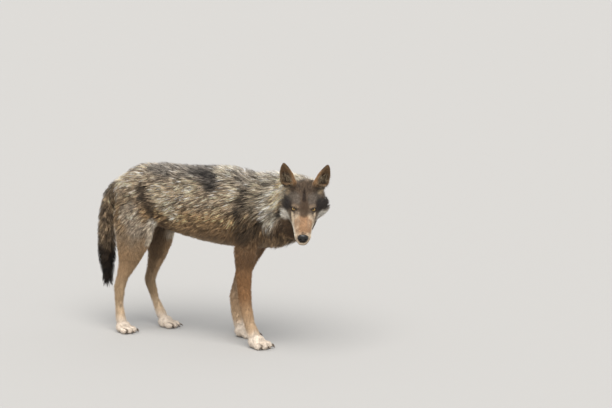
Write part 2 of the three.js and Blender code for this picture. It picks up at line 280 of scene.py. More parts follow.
def coatDepth(at):
    x, _, z = at["body"].T
    hx, hy, hz = at["local"].T
    depth = depths["trunk"] + depths["moreBack"] * ease(0.60, 0.72, z)
    depth = depth + depths["moreChest"] * ease(0.05, 0.30, x)
    arm = depths["foreleg"] + depths["moreArm"] * ease(0.30, 0.47, z)
    thigh = depths["hindleg"] + depths["moreThigh"] * ease(0.24, 0.52, z)
    limb = np.where(at["front"], arm, thigh) - depths["lessPaw"] * ease(0.09, 0.03, z)
    depth = depth + (limb - depth) * at["leg"]
    tail = depths["tail"] - depths["lessTailTip"] * ease(0.26, 0.20, z)
    depth = depth + (tail - depth) * at["tail"]
    depth = depth + (depths["neck"] - depth) * at["neck"]
    cheek = ease(0.048, 0.090, np.abs(hy)) * ease(-0.005, -0.055, hx)
    jaw = ease(-0.06, -0.12, hz) * ease(0.02, -0.06, hx)
    face = depths["face"] + depths["moreCrown"] * ease(0.01, -0.09, hx)
    face = face + depths["moreCheek"] * cheek + depths["moreJaw"] * jaw
    face = face * (1 - depths["lessAtEye"] * ease(0.024, 0.015, eyeDistance(at["local"])))
    depth = depth + (face - depth) * at["head"]
    return depth + (depths["ear"] - depth) * at["ear"]


# the way the hair points along the surface
lies = {
    "shoulder": (-0.55, 0, -1.0), "haunch": (-0.75, 0, -0.85), "leg": (-0.16, 0, -1.0),
    "paw": (1.0, 0, -0.55), "tail": (-0.25, 0, -1.0), "throat": (-0.35, 0.0, -1.0),
}
swirls = {"size": 0.045, "strength": 0.22}


def coatLie(points, normals, at):
    x, y, z = at["body"].T
    hx, hy, hz = at["local"].T
    ones = np.ones(len(points))
    way = {name: np.array(lie) for name, lie in lies.items()}
    lie = np.stack([-ones, 0.10 * np.sign(y), -0.34 * ones], 1)
    lie = between(lie, way["shoulder"], ease(0.12, 0.22, x) * ease(0.62, 0.50, z))
    lie = between(lie, way["haunch"], ease(-0.16, -0.26, x) * ease(0.66, 0.54, z))
    lie = between(lie, way["leg"], at["leg"])
    lie = between(lie, way["paw"], at["leg"] * ease(0.075, 0.03, z))
    lie = between(lie, way["tail"], at["tail"])
    neckLie = np.stack([-ones, 0.25 * np.sign(y), -0.5 * ones], 1)
    lie = between(lie, between(neckLie, way["throat"], ease(0.58, 0.48, z)), at["neck"])
    outward = np.sign(hy) * ease(0.0, 0.05, np.abs(hy))
    cheek = ease(0.03, -0.03, hx)
    down = 0.05 - 0.45 * cheek * ease(0.0, -0.04, hz)
    faceLie = np.stack([-ones, 0.25 * outward + 0.55 * outward * cheek, down], 1)
    lie = between(lie, fromHead(faceLie), at["head"])
    for side in (-1, 1):
        _, axes = earFrames[side]
        e = onEar(at["local"], side)
        up = fromHead(axes[2][None] - 0.4 * unit(e[:, 1:2] * axes[1][None]))
        lie = between(lie, up, at["ear"] * (hy * side > 0))
    lie = unit(lie)
    swirl = swirls["strength"] * noise(points, swirls["size"], 5)
    lie = lie + np.cross(normals, lie) * swirl[:, None]
    return unit(lie - normals * (lie * normals).sum(1, keepdims=True))


# the markings, with painted shade among them. A body mark runs from start to end in x and z, a face mark in
# x, |y| and z of the head, each with its half width, its colour and how much of it shows.
bodyTones = {
    "back": (128, 121, 112), "flank": (160, 142, 119), "lowFlank": (146, 120, 88), "belly": (150, 126, 94),
    # the throat's tone is painted shade under the head
    "neck": (150, 140, 124), "throat": (112, 92, 68), "thigh": (154, 137, 115), "gaskin": (172, 142, 108),
    # the tone between the toes is painted shade
    "hock": (176, 150, 118), "shank": (206, 182, 152), "paw": (222, 208, 192), "toeGapShade": (92, 76, 60),
    "armTop": (124, 95, 68), "arm": (144, 106, 70), "wrist": (182, 150, 116), "inside": (172, 152, 128),
    # the inner thigh's tone is painted shade, where the inner surfaces lie in shadow
    "shadedInsideThigh": (104, 84, 64), "tailTop": (84, 75, 62), "tail": (124, 106, 84), "tailTip": (30, 22, 15),
}
bodyMarks = {
    "saddle": ((-0.06, 0.735), (0.095, 0.660), 0.032, (78, 74, 70), 0.75),
    "saddleEnd": ((0.045, 0.695), (0.110, 0.655), 0.018, (50, 46, 43), 0.75),
    "croup": ((-0.36, 0.70), (-0.12, 0.735), 0.024, (86, 82, 77), 0.65),
    "withers": ((0.080, 0.735), (0.140, 0.695), 0.024, (204, 190, 166), 0.8),
    "shoulderBlade": ((0.170, 0.672), (0.215, 0.640), 0.024, (178, 163, 140), 0.7),
    "shoulderStripe": ((0.250, 0.642), (0.232, 0.530), 0.022, (56, 49, 41), 0.85),
    "elbow": ((0.300, 0.53), (0.255, 0.47), 0.042, (60, 49, 38), 0.85),
    "collar": ((0.300, 0.66), (0.290, 0.56), 0.022, (142, 128, 106), 0.6),
    "ruff": ((0.350, 0.640), (0.362, 0.515), 0.032, (186, 175, 156), 0.8),
    "besideCheek": ((0.434, 0.614), (0.424, 0.584), 0.025, (46, 42, 38), 0.92),
    "behindEar": ((0.405, 0.72), (0.400, 0.625), 0.036, (236, 206, 164), 0.95),
    "napeTop": ((0.28, 0.72), (0.40, 0.73), 0.030, (192, 180, 160), 0.6),
    # painted shade on the chest and throat under the head
    "chestShade": ((0.44, 0.50), (0.36, 0.43), 0.060, (76, 58, 41), 0.85),
    "flankPale": ((-0.050, 0.642), (0.012, 0.640), 0.026, (198, 180, 150), 0.75),
    "wool": ((-0.160, 0.605), (-0.085, 0.535), 0.034, (194, 176, 148), 0.7),
    "rumpTan": ((-0.375, 0.635), (-0.300, 0.630), 0.026, (210, 185, 153), 0.85),
    "hipTan": ((-0.262, 0.695), (-0.262, 0.650), 0.017, (222, 198, 168), 0.85),
    "hipDark": ((-0.30, 0.59), (-0.255, 0.56), 0.024, (98, 85, 69), 0.5),
    # painted shade in the fold between the flank and the thigh
    "creaseShade": ((-0.230, 0.622), (-0.185, 0.520), 0.019, (60, 49, 38), 0.88),
    "thighGrey": ((-0.281, 0.519), (-0.245, 0.455), 0.042, (166, 154, 138), 0.7),
    "thighFront": ((-0.184, 0.485), (-0.206, 0.395), 0.015, (212, 198, 178), 0.85),
    "thighBack": ((-0.380, 0.555), (-0.372, 0.380), 0.020, (186, 168, 143), 0.8),
}
faceTones = {
    # the jaw's tone is painted shade under the jaw and on the throat
    "crown": (98, 82, 67), "muzzle": (204, 185, 161), "cheek": (142, 129, 113), "jaw": (88, 69, 51),
    "earBack": (150, 116, 82), "earInside": (58, 46, 35), "earRim": (106, 82, 57), "earTip": (84, 68, 53),
    "earHair": (156, 138, 112), "noseEdge": (20, 17, 15), "mouth": (30, 24, 21), "lid": (26, 20, 17),
}
faceMarks = {
    "temple": ((-0.026, 0.028, 0.034), (-0.060, 0.058, 0.020), 0.024, (120, 111, 101), 0.65),
    "bridge": ((0.050, 0.0, -0.008), (0.096, 0.0, -0.022), 0.026, (166, 129, 95), 0.92),
    "bridgeSide": ((0.048, 0.024, -0.020), (0.090, 0.019, -0.032), 0.013, (160, 122, 88), 0.8),
    "stop": ((-0.030, 0.0, 0.024), (0.026, 0.0, 0.002), 0.019, (82, 64, 48), 0.88),
    "furrow": ((-0.020, 0.0, 0.034), (-0.095, 0.0, 0.062), 0.006, (44, 33, 27), 0.85),
    "crownEdge": ((-0.118, 0.0, 0.066), (-0.118, 0.04, 0.062), 0.014, (206, 190, 164), 0.7),
    "browSpot": ((-0.002, 0.026, 0.016), (-0.009, 0.041, 0.013), 0.0095, (186, 162, 134), 0.46),
    "wing": ((-0.030, 0.056, -0.004), (-0.086, 0.096, -0.034), 0.027, (42, 37, 34), 0.93),
    "wingTop": ((-0.040, 0.062, 0.010), (-0.070, 0.080, -0.010), 0.016, (64, 58, 54), 0.7),
    "earFoot": ((-0.076, 0.072, 0.036), (-0.088, 0.092, 0.004), 0.019, (202, 178, 143), 0.88),
    "underEye": ((0.006, 0.040, -0.014), (0.034, 0.031, -0.040), 0.012, (206, 186, 160), 0.92),
    "tearLine": ((0.010, 0.029, -0.004), (0.024, 0.024, -0.013), 0.0030, (60, 47, 37), 0.65),
    "outerLine": ((-0.002, 0.052, -0.006), (0.022, 0.046, -0.044), 0.0042, (60, 49, 39), 0.8),
    "cheekPale": ((-0.012, 0.066, -0.046), (-0.050, 0.082, -0.064), 0.021, (224, 216, 203), 0.92),
    "lipPale": ((0.030, 0.038, -0.058), (0.094, 0.028, -0.054), 0.015, (236, 224, 206), 0.88),
    # painted shade under the nose
    "underNose": ((0.114, 0.0, -0.062), (0.108, 0.008, -0.082), 0.016, (96, 81, 67), 0.85),
    "lip": ((0.104, 0.014, -0.070), (0.020, 0.040, -0.076), 0.0028, (34, 27, 23), 0.9),
    "nostrilEdge": ((0.112, 0.0, -0.020), (0.112, 0.018, -0.034), 0.007, (74, 60, 50), 0.7),
    # painted shade on the chin and lower lip under the muzzle
    "chinShade": ((0.100, 0.0, -0.086), (0.060, 0.018, -0.092), 0.012, (122, 106, 88), 0.7),
}


def markWeight(places, start, end, wide):
    start, end = np.array(start), np.array(end)
    run = end - start
    along = np.clip((places - start) @ run / max(run @ run, 1e-9), 0, 1)
    gap = np.linalg.norm(places - start - along[:, None] * run, axis=1)
    return ease(1.35, 0.55, gap / wide)


def layered(tone, *layers):
    for colour, share in layers:
        tone = between(tone, colour, share)
    return tone


def marked(tone, marks, places, shown):
    layers = [(linear(colour), share * shown * markWeight(places, start, end, wide))
              for start, end, wide, colour, share in marks.values()]
    return layered(tone, *layers)


def trunkTone(at, tones, rough):
    _, y, z = at["body"].T
    # the lower neck darkens to the throat's tone: painted shade under the head
    neck = between(tones["throat"][None], tones["neck"], ease(0.50, 0.56, z + rough))
    return layered(
        np.tile(tones["back"], (len(z), 1)),
        (tones["flank"], ease(0.70, 0.63, z + rough)),
        (tones["lowFlank"], ease(0.60, 0.52, z + rough)),
        (tones["belly"], ease(0.46, 0.41, z) * ease(0.09, 0.04, np.abs(y))),
        (neck, at["neck"]),
    )


def legTone(at, tones, rough, inner):
    z, front = at["body"][:, 2], at["front"]
    hind = layered(tones["thigh"][None], (tones["gaskin"], ease(0.45, 0.33, z + 2 * rough)),
                   (tones["hock"], ease(0.27, 0.20, z)))
    fore = layered(tones["armTop"][None], (tones["arm"], ease(0.38, 0.27, z)),
                   (tones["wrist"], ease(0.22, 0.13, z)))
    return layered(
        np.where(front[:, None], fore, hind),
        # the inner side: pale on the forelegs, painted shade on the hind legs
        (np.where(front[:, None], tones["inside"], tones["shadedInsideThigh"]), np.where(front, 0.6, 0.85) * inner),
        (tones["shank"], ease(0.15, 0.08, z) * np.where(front, 0.55, 1)),
        (tones["paw"], ease(0.088, 0.042, z + 0.8 * rough)),
    )


def tailTone(at, tones, rough):
    x, _, z = at["body"].T
    return layered(
        tones["tail"][None],
        (tones["tailTop"], ease(0.52, 0.60, z)),
        (tones["tailTop"], 0.6 * ease(-0.45, -0.475, x)),
        (tones["tailTip"], ease(0.42, 0.30, z + 2.5 * rough)),
    )


def faceTone(at, tones, rough):
    local = at["local"]
    hx, hy, hz = local.T
    face = layered(
        tones["crown"][None],
        (tones["cheek"], ease(0.0, -0.03, hz + rough) * ease(0.03, 0.05, np.abs(hy))),
        (tones["muzzle"], ease(0.010, 0.040, hx + rough)),
        # painted shade on the lower jaw
        (tones["jaw"], ease(-0.062, -0.082, hz + rough) * ease(0.045, 0.010, hx)),
    )
    face = marked(face, faceMarks, np.stack([hx, np.abs(hy), hz], 1) + rough[:, None], 1)
    above, share = overMouth(local)
    mouth = 0.92 * (share * (hx < mouthLine["ahead"])) * ease(0.0030, 0.0012, np.abs(above + 0.0006))
    face = layered(face, (tones["noseEdge"], ease(1.10, 1.02, fromNose(local))), (tones["mouth"], mouth))
    for side in (-1, 1):
        near = np.linalg.norm(local - eyePlaces[side], axis=1) < eyeShape["lidReach"]
        face = between(face, tones["lid"], 0.95 * (ease(0.0042, 0.0016, lidGap(local, side)) * near))
    return face


def withEars(tone, at, normals, tones):
    for side in (-1, 1):
        e = onEar(at["local"], side)
        out = normals @ fromHead(earFrames[side][1][0])
        inside = ease(0.1, 0.5, out) * ease(0.03, 0.022, np.abs(e[:, 1]))
        hollow = inside * ease(0.024, 0.012, np.abs(e[:, 1])) * ease(0.088, 0.066, e[:, 2])
        ear = layered(tones["earBack"][None], (tones["earTip"], ease(0.08, 0.105, e[:, 2])),
                      (tones["earRim"], inside), (tones["earInside"], hollow))
        tone = between(tone, ear, at["ear"] * (at["local"][:, 1] * side > 0))
    return tone


# how far light and dark hairs stand apart
contrasts = {"least": 0.17, "trunk": 0.84, "lessBelow": 0.28, "head": 0.22}


def toneAt(points, normals, at):
    # the coat's colour and contrast
    x, y, z = at["body"].T
    body = {name: linear(colour) for name, colour in bodyTones.items()}
    face = {name: linear(colour) for name, colour in faceTones.items()}
    rough = 0.012 * noise(points, 0.030, 2) + 0.006 * noise(points, 0.011, 3)
    leg = at["leg"]
    inner = ease(0.085, 0.055, np.abs(y)) * ease(0.10, 0.20, z)
    tone = layered(
        trunkTone(at, body, rough),
        (legTone(at, body, rough, inner), leg),
        # painted shade on the inner thighs
        (body["shadedInsideThigh"], 0.8 * inner * (x < -0.12) * ease(0.60, 0.52, z)),
    )
    # painted shade between the toes
    for start, end in toeGaps:
        gap = ease(0.050, toeGapShade["high"], z) * markWeight(at["body"][:, :2], start, end, toeGapShade["wide"])
        tone = between(tone, body["toeGapShade"], toeGapShade["share"] * gap)
    shown = (1 - at["head"]) * (1 - at["ear"]) * (1 - at["tail"]) * (1 - inner * ease(0.52, 0.46, z))
    tone = marked(tone, bodyMarks, np.stack([x + rough, z + rough[::-1] * 0.5], 1), shown)
    tone = between(tone, tailTone(at, body, rough), at["tail"])
    tone = between(tone, faceTone(at, face, 0.3 * rough), at["head"])
    contrast = contrasts["trunk"] * (1 - leg) * (1 - at["head"]) * (1 - at["ear"]) + contrasts["least"]
    contrast = contrast - contrasts["lessBelow"] * ease(0.56, 0.45, z) * (1 - leg)
    contrast = contrast + contrasts["head"] * at["head"]
    return withEars(tone, at, normals, face), contrast


# the skin
skinShape = {
    "voxel": 0.0026,
    "overlap": 0.0004,  # closes the thin cuts between the solids
    "steps": 8,
    "faces": 140000,
    "smoothing": 0.5,
    "settle": 90,
    "evenDepth": 30,
    "keptDetail": 0.9,  # shares that the smoothing leaves alone
    "kept": {"leg": 0.88, "ear": 0.985, "tail": 0.5},
    "thinning": 0.6,
}


def newObject(name, mesh):
    piece = bpy.data.objects.new(name, mesh)
    bpy.context.scene.collection.objects.link(piece)
    return piece


def pick(*pieces):
    bpy.ops.object.select_all(action="DESELECT")
    for piece in pieces:
        piece.select_set(True)
    bpy.context.view_layer.objects.active = pieces[-1]


def addModifier(piece, kind, **settings):
    modifier = piece.modifiers.new(kind.title(), kind)
    for key, value in settings.items():
        setattr(modifier, key, value)
    pick(piece)
    bpy.ops.object.modifier_apply(modifier=modifier.name)


def rows(items, key, size=3, kind=np.float32):
    # one value of every vertex, edge, face or corner
    values = np.empty(len(items) * size, kind)
    items.foreach_get(key, values)
    return values.reshape(-1, size)


def vertexPlaces(mesh):
    return rows(mesh.vertices, "co").astype(float)


def vertexNormals(mesh):
    return rows(mesh.vertex_normals, "vector").astype(float)


def triangleCorners(mesh):
    return rows(mesh.polygons, "vertices", 3, np.int32)


def store(layers, name, kind, key, values):
    layers.new(name, kind, "POINT").data.foreach_set(key, values.astype(np.float32).ravel())


def storeTone(mesh, colours):
    full = np.concatenate([colours, np.ones((len(colours), 1))], 1)
    store(mesh.color_attributes, "tone", "FLOAT_COLOR", "color", full)


def placeVertices(mesh, places):
    mesh.vertices.foreach_set("co", np.asarray(places, np.float32).ravel())
    mesh.update()


def relaxed(places, ends, share):
    # moves each place a share of the way to the middle of its neighbours
    count = np.bincount(ends.ravel(), minlength=len(places))
    total = np.stack([
        np.bincount(ends[:, 0], places[ends[:, 1], k], len(places))
        + np.bincount(ends[:, 1], places[ends[:, 0], k], len(places))
        for k in range(places.shape[1])
    ], 1)
    mean = total / np.maximum(count, 1)[:, None]
    return places + (mean - places) * np.asarray(share)[..., None]


def bodySkin():
    flesh = [node for name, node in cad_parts.items() if "claw" not in name]
    copies = [newObject("flesh", node.data.copy()) for node in flesh]
    pick(*copies)
    bpy.ops.object.join()
    skin = bpy.context.view_layer.objects.active
    skin.name = skin.data.name = "skin"
    skin.data.materials.clear()
    addModifier(skin, "WELD", merge_threshold=0.00002)
    addModifier(skin, "DISPLACE", strength=skinShape["overlap"], mid_level=0)
    addModifier(skin, "REMESH", mode="VOXEL", voxel_size=skinShape["voxel"], adaptivity=0)
    mesh = skin.data
    places, ends = vertexPlaces(mesh), rows(mesh.edges, "vertices", 2, np.int32)
    outline = BVHTree.FromPolygons(places.tolist(), [list(face.vertices) for face in mesh.polygons])
    at = regionsAt(places)
    depth = coatDepth(at)[:, None]
    for _ in range(skinShape["evenDepth"]):
        depth = relaxed(depth, ends, np.full(len(depth), 0.5))
    hx, hy, _ = at["local"].T
    face = at["head"] * ease(-0.075, -0.035, hx) * ease(0.085, 0.065, np.abs(hy))
    detailed = np.maximum.reduce([face, at["ear"], ease(0.20, 0.09, at["body"][:, 2])])
    kept = [share * at[region] for region, share in skinShape["kept"].items()]
    kept = np.maximum.reduce([skinShape["keptDetail"] * detailed, *kept])
    smoothing = skinShape["smoothing"] * (1 - kept)
    for _ in range(skinShape["settle"]):
        places = relaxed(places, ends, smoothing)
    for _ in range(skinShape["steps"]):
        placeVertices(mesh, places)
        normals = vertexNormals(mesh)
        for _ in range(3):
            normals = relaxed(normals, ends, smoothing)
        places = places - unit(normals) * depth / skinShape["steps"]
        for _ in range(6):
            places = relaxed(places, ends, smoothing)
    placeVertices(mesh, places)
    group = skin.vertex_groups.new(name="plain")
    weights = skinShape["thinning"] * (1 - np.maximum(detailed, 0.5 * at["head"]))
    for level in range(11):
        picked = np.flatnonzero(np.round(weights * 10) == level)
        group.add(picked.tolist(), level / 10, "REPLACE")
    triangles = 2 * len(mesh.polygons)
    addModifier(skin, "DECIMATE", ratio=skinShape["faces"] / triangles, vertex_group="plain",
                vertex_group_factor=1.0, use_collapse_triangulate=True)
    return skin, outline


def editFaces(piece, chosen):
    # opens the piece in edit mode with just these faces selected
    pick(piece)
    bpy.context.tool_settings.mesh_select_mode = (False, False, True)
    mesh = piece.data
    mesh.vertices.foreach_set("select", np.zeros(len(mesh.vertices), bool))
    mesh.edges.foreach_set("select", np.zeros(len(mesh.edges), bool))
    mesh.polygons.foreach_set("select", chosen)
    bpy.ops.object.mode_set(mode="EDIT")


def refine(piece, test):
    # halves the edges of the faces that pass the test
    centres = rows(piece.data.polygons, "center").astype(float)
    editFaces(piece, test(onHead(centres)))
    bpy.ops.mesh.subdivide(number_cuts=1)
    bpy.ops.mesh.select_all(action="SELECT")
    bpy.ops.mesh.quads_convert_to_tris()
    bpy.ops.object.mode_set(mode="OBJECT")


faceShape = {
    "jawNarrower": 0.16,
    "jawBack": 0.010,
    "jawUp": 0.005,
    "frontDown": 0.0045,
    "collar": 0.001,  # how far the skin comes forward round the nose, and how far it stays back under it
    "underNose": -0.003,
    "collarFall": 0.012,
    "collarEdge": 1.06,
    "nearNose": 1.7,
    "lipOver": 0.0012,
    "mouthDepth": 0.0026,
    "mouthWide": 0.0013,
    "whiskerPad": (0.092, 0, -0.048),
    "padBulge": 0.0026,
}


def nearMouth(local, reach):
    above, share = overMouth(local)
    return (np.abs(above) < reach) & (share > 0) & (local[:, 0] < 0.14) & (np.abs(local[:, 1]) < 0.06)


def lipsAndJaw(local, out, onFace):
    # how far each place moves, in the head's frame
    hx, hy, _ = local.T
    above, share = overMouth(local)
    share = share * onFace * (hx < mouthLine["ahead"])
    lower = share * ease(0.0005, -0.006, above) * ease(-0.02, 0.03, hx)
    move = np.zeros_like(local)
    move[:, 0] -= faceShape["jawBack"] * ease(0.07, 0.122, hx) * lower
    move[:, 1] -= faceShape["jawNarrower"] * hy * lower
    move[:, 2] += faceShape["jawUp"] * ease(0.05, 0.12, hx) * lower
    move[:, 2] -= faceShape["frontDown"] * onFace * ease(0.080, 0.115, hx)
    upperLip = share * ease(0.0, 0.002, above) * ease(0.012, 0.004, above)
    groove = share * np.exp(-((above / faceShape["mouthWide"]) ** 2))
    pad = np.linalg.norm((local - faceShape["whiskerPad"]) * (0.8, 0, 1), axis=1)
    pad = onFace * ease(0.020, 0.004, pad) * ease(0.012, 0.02, np.abs(hy))
    push = faceShape["lipOver"] * upperLip - faceShape["mouthDepth"] * groove + faceShape["padBulge"] * pad
    return move, out * push[:, None]


def roundNose(local, out, onFace):
    # brings the skin up to the nose in a low collar
    rim = np.linalg.norm((local - nosePlace)[:, 1:] / np.array(noseSet["bare"])[1:], axis=1)
    facing = onFace & (local[:, 0] > nosePlace[0] - 0.018) & (out[:, 0] > 0.1) & (rim < faceShape["nearNose"])
    fall = faceShape["collarFall"] * np.clip((rim - 1.05) / 0.5, 0, 2) ** 2
    wall = nosePlace[0] + faceShape["collar"] - fall
    under = nosePlace[0] + faceShape["underNose"]
    wall = under + (wall - under) * ease(0.92, 1.06, rim)
    inside = rim < faceShape["collarEdge"]
    return np.where(facing, np.where(inside, wall, np.maximum(local[:, 0], wall)), local[:, 0])


def shapeLids(local, side, onFace):
    ray = local - eyePlaces[side]
    length = np.linalg.norm(ray, axis=1)
    gap = lidGap(local, side)
    radius = eyeShape["radius"]
    lid = radius + eyeShape["lid"] + 0.3 * np.clip(gap, 0, 0.01)
    lid = 0.8 * radius + (lid - 0.8 * radius) * ease(-0.0006, 0.0005, gap)
    share = ease(0.0060, 0.0016, gap) * (length < 0.026) * onFace
    length = length + (lid - length) * share
    return eyePlaces[side] + unit(ray) * length[:, None]


def sculptFace(skin):
    refine(skin, lambda p: (eyeDistance(p) < 0.026) | nearMouth(p, 0.009)
           | (fromNose(p) < faceShape["nearNose"]))
    refine(skin, lambda p: (eyeDistance(p) < 0.019) | nearMouth(p, 0.0035))
    refine(skin, lambda p: (eyeDistance(p) < 0.017)
           & (np.minimum(np.abs(lidGap(p, -1)), np.abs(lidGap(p, 1))) < 0.0014))
    mesh = skin.data
    places, normals = vertexPlaces(mesh), vertexNormals(mesh)
    local, out = onHead(places), normals @ headAxes.T
    onFace = regionsAt(places)["head"] > 0.9
    move, push = lipsAndJaw(local, out, onFace)
    local = local + move + push
    local[:, 0] = roundNose(local, out, onFace)
    for side in (-1, 1):
        local = shapeLids(local, side, onFace)
    gap = np.minimum(lidGap(local, -1), lidGap(local, 1))
    around = ease(0.0010, 0.0022, gap) * ease(0.028, 0.022, eyeDistance(local)) * onFace
    ends = rows(mesh.edges, "vertices", 2, np.int32)
    for _ in range(14):
        local = relaxed(local, ends, 0.6 * around)
    placeVertices(mesh, np.where(onFace[:, None], headOrigin + fromHead(local), places))


skin, outline = bodySkin()
sculptFace(skin)
print("skin", len(skin.data.vertices), len(skin.data.polygons))
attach(skin, "root")
hidden = [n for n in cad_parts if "claw" not in n and not n.startswith("eye") and n != "nose"]
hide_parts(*hidden)


class Ground:
    # the skin as the coat grows from it
    def __init__(self, piece):
        mesh = piece.data
        self.places, self.corners = vertexPlaces(mesh), triangleCorners(mesh)
        self.tree = BVHTree.FromPolygons(self.places.tolist(), self.corners.tolist())
        a, b, c = (self.places[self.corners[:, k]] for k in range(3))
        self.areas = np.linalg.norm(np.cross(b - a, c - a), axis=1) / 2
        self.faceNormals = unit(vertexNormals(mesh)[self.corners].mean(1))

    def nearest(self, points):
        found = [self.tree.find_nearest(p) for p in points.tolist()]
        places = np.array([f[0] for f in found])
        return places, self.faceNormals[[f[2] for f in found]]

    def scatter(self, density):
        count = rng.poisson(self.areas * density)
        face = np.repeat(np.arange(len(count)), count)
        u, v = rng.random(len(face)), rng.random(len(face))
        over = u + v > 1
        u[over], v[over] = 1 - u[over], 1 - v[over]
        a, b, c = (self.places[self.corners[face, k]] for k in range(3))
        return a + (b - a) * u[:, None] + (c - a) * v[:, None], self.faceNormals[face]


ground = Ground(skin)

# the coat, in tufts
coat = {
    "reach": 1.55,  # a tuft's run for each metre of the coat's depth
    "shortest": 0.0105,
    "width": 0.00086,
    "widthPerRun": 0.024,
    "cover": 2.85,  # tufts lying over each point
    "shortCover": 0.62,
    "faceCover": 1.0,
    "tailCover": 0.85,  # more than elsewhere by this share
    "longFrom": 0.0085,  # a coat this deep has the long kind of tuft
    "clumpSpacing": 0.011,
    "gather": 0.42,
    "thickness": 0.42,
    "strays": 0.07,
    "strayLonger": 0.3,
    "strayHigher": 0.12,
    "strayThinner": 0.4,
    "under": 0.42,  # the share of long tufts that lie low, under the rest
    "underShorter": 0.15,
    "underFlatter": 0.28,
    "longRise": 1.6,  # the most that a tuft rises, for each metre of the coat's depth
    "tailRise": 0.8,
    "shortRise": 1.4,
    "tipLonger": 0.5,  # at the tail's tip
    "tipHigher": 1.2,
    "rootBelow": 0.03,  # how far roots sink into the skin, as a share of the height
    "layOver": 1.8,
    "floor": 0.0003,
    "patch": 0.003,  # a tuft's square on the unwrap
    "clumpShade": 0.55,
    "ownShade": 0.55,
    "clumpSwing": 0.13,
    "ownSwing": 0.10,
    "clumpRun": (0.82, 1.12),
    "clumpRise": (0.84, 1.0),
    "ownRun": (0.85, 1.12),
    "ownRise": (0.75, 1.04),
    "ownWidth": (0.75, 1.25),
    "darkTips": 0.8,
    "earRun": (0.014, 0.026),
    "earRise": (0.004, 0.009),
    "seenAt": 0.6,  # the share along a tuft where it shows most, so where its tone is read
}


def hairSize(at, depth):
    # a tuft's run, its width, and how many are needed over a square metre
    nearEye = ease(0.026, 0.016, eyeDistance(at["local"]))
    run = np.maximum(depth * coat["reach"], coat["shortest"] * (1 - 0.40 * at["head"]) * (1 - 0.35 * nearEye))
    width = coat["width"] * (1 - 0.15 * at["head"]) + coat["widthPerRun"] * run * (1 - 0.35 * at["neck"])
    low = coat["shortCover"] + (coat["faceCover"] - coat["shortCover"]) * np.maximum(at["head"], at["ear"])
    cover = low + (coat["cover"] - low) * ease(0.006, 0.011, depth)
    cover = cover * (1 + coat["tailCover"] * at["tail"])
    return run, width, cover / (run * width * 0.62)


def grow(roots, normals, run, height, swing, free, steps):
    # centre lines of tufts: each follows the lie of the coat, rises off the skin and lays over.
    # the free ones, at the tail's tip, run straight on past the skin.
    flat, ups = [roots], [normals]
    place, up = roots, normals
    for _ in range(steps):
        lie = coatLie(place, up, regionsAt(place))
        lie = lie * np.cos(swing)[:, None] + np.cross(up, lie) * np.sin(swing)[:, None]
        onward = place + lie * (run / steps)[:, None]
        place, turned = ground.nearest(onward)
        place = np.where(free[:, None], onward, place)
        up = np.where(free[:, None], up, turned)
        flat.append(place)
        ups.append(up)
    flat, ups = np.stack(flat, 1), np.stack(ups, 1)
    share = np.linspace(0, 1, steps + 1)
    rise = 1 - (1 - share) ** coat["layOver"]
    rise[0] = -coat["rootBelow"]
    return flat + ups * (height[:, None] * rise)[..., None], ups


def tuftArrays(lines, ups, widths, ramp, patch):
    # tufts are three-sided and closed, and taper to a point
    count, rings = len(lines), lines.shape[1] - 1
    along = unit(lines[:, 1:] - lines[:, :-1])
    side = unit(np.cross(along, ups[:, :-1]))
    over = np.cross(side, along)
    share = np.arange(rings) / rings
    taper = (0.75 + 0.5 * share - share ** 2)[None, :, None]
    half = side * widths[:, None, None] * taper / 2
    top = over * widths[:, None, None] * taper * coat["thickness"]
    ring = np.stack([lines[:, :-1] - half, lines[:, :-1] + top, lines[:, :-1] + half], 2)
    places = np.concatenate([ring.reshape(count, rings * 3, 3), lines[:, -1:]], 1)
    places[..., 2] = np.maximum(places[..., 2], coat["floor"])
    size = rings * 3 + 1
    last = size - 4
    sides = ((0, 1), (1, 2), (2, 0))
    pattern = [(0, 2, 1)]
    for r in range(0, last, 3):
        for a, b in sides:
            pattern += [(r + a, r + b, r + b + 3), (r + a, r + b + 3, r + a + 3)]
    pattern += [(last + a, last + b, size - 1) for a, b in sides]
    triangles = (np.array(pattern)[None] + (np.arange(count) * size)[:, None, None]).reshape(-1, 3)
    colours = np.concatenate([np.repeat(ramp[:, :-1], 3, axis=1), ramp[:, -1:]], 1).reshape(-1, 3)
    across = np.concatenate([np.tile([0, 0.5, 1], rings), [0.5]])
    upward = np.concatenate([np.repeat(share, 3), [1]])
    uv = patch[:, None] + coat["patch"] * np.stack([across, upward], 1)[None]
    return places.reshape(-1, 3), triangles, colours, uv.reshape(-1, 2)


def tuftPiece(name, batches):
    parts, start = [], 0
    for batch in batches:
        places, triangles, colours, uv = tuftArrays(*batch)
        parts.append((places, triangles + start, colours, uv))
        start += len(places)
    places, triangles, colours, uv = (np.concatenate(part) for part in zip(*parts))
    mesh = bpy.data.meshes.new(name)
    mesh.vertices.add(len(places))
    mesh.vertices.foreach_set("co", places.astype(np.float32).ravel())
    mesh.loops.add(triangles.size)
    mesh.loops.foreach_set("vertex_index", triangles.astype(np.int32).ravel())
    mesh.polygons.add(len(triangles))
    mesh.polygons.foreach_set("loop_start", np.arange(0, triangles.size, 3, dtype=np.int32))
    mesh.polygons.foreach_set("use_smooth", np.ones(len(triangles), bool))
    mesh.update()
    storeTone(mesh, colours)
    layer = mesh.uv_layers.new(name="OFBake")
    layer.data.foreach_set("uv", uv[triangles.ravel()].astype(np.float32).ravel())
    print(name, len(triangles), "triangles")
    return newObject(name, mesh)


unwrapShape = {"faces": 9000, "angle": 70, "margin": 0.004, "areaWeight": 0.3}


def roughUnwrap():
    # a coarse copy of the skin, whose unwrap gives the tufts their places
    copy = newObject("unwrap", skin.data.copy())
    ratio = unwrapShape["faces"] / len(copy.data.polygons)
    addModifier(copy, "DECIMATE", ratio=ratio, use_collapse_triangulate=True)
    return copy


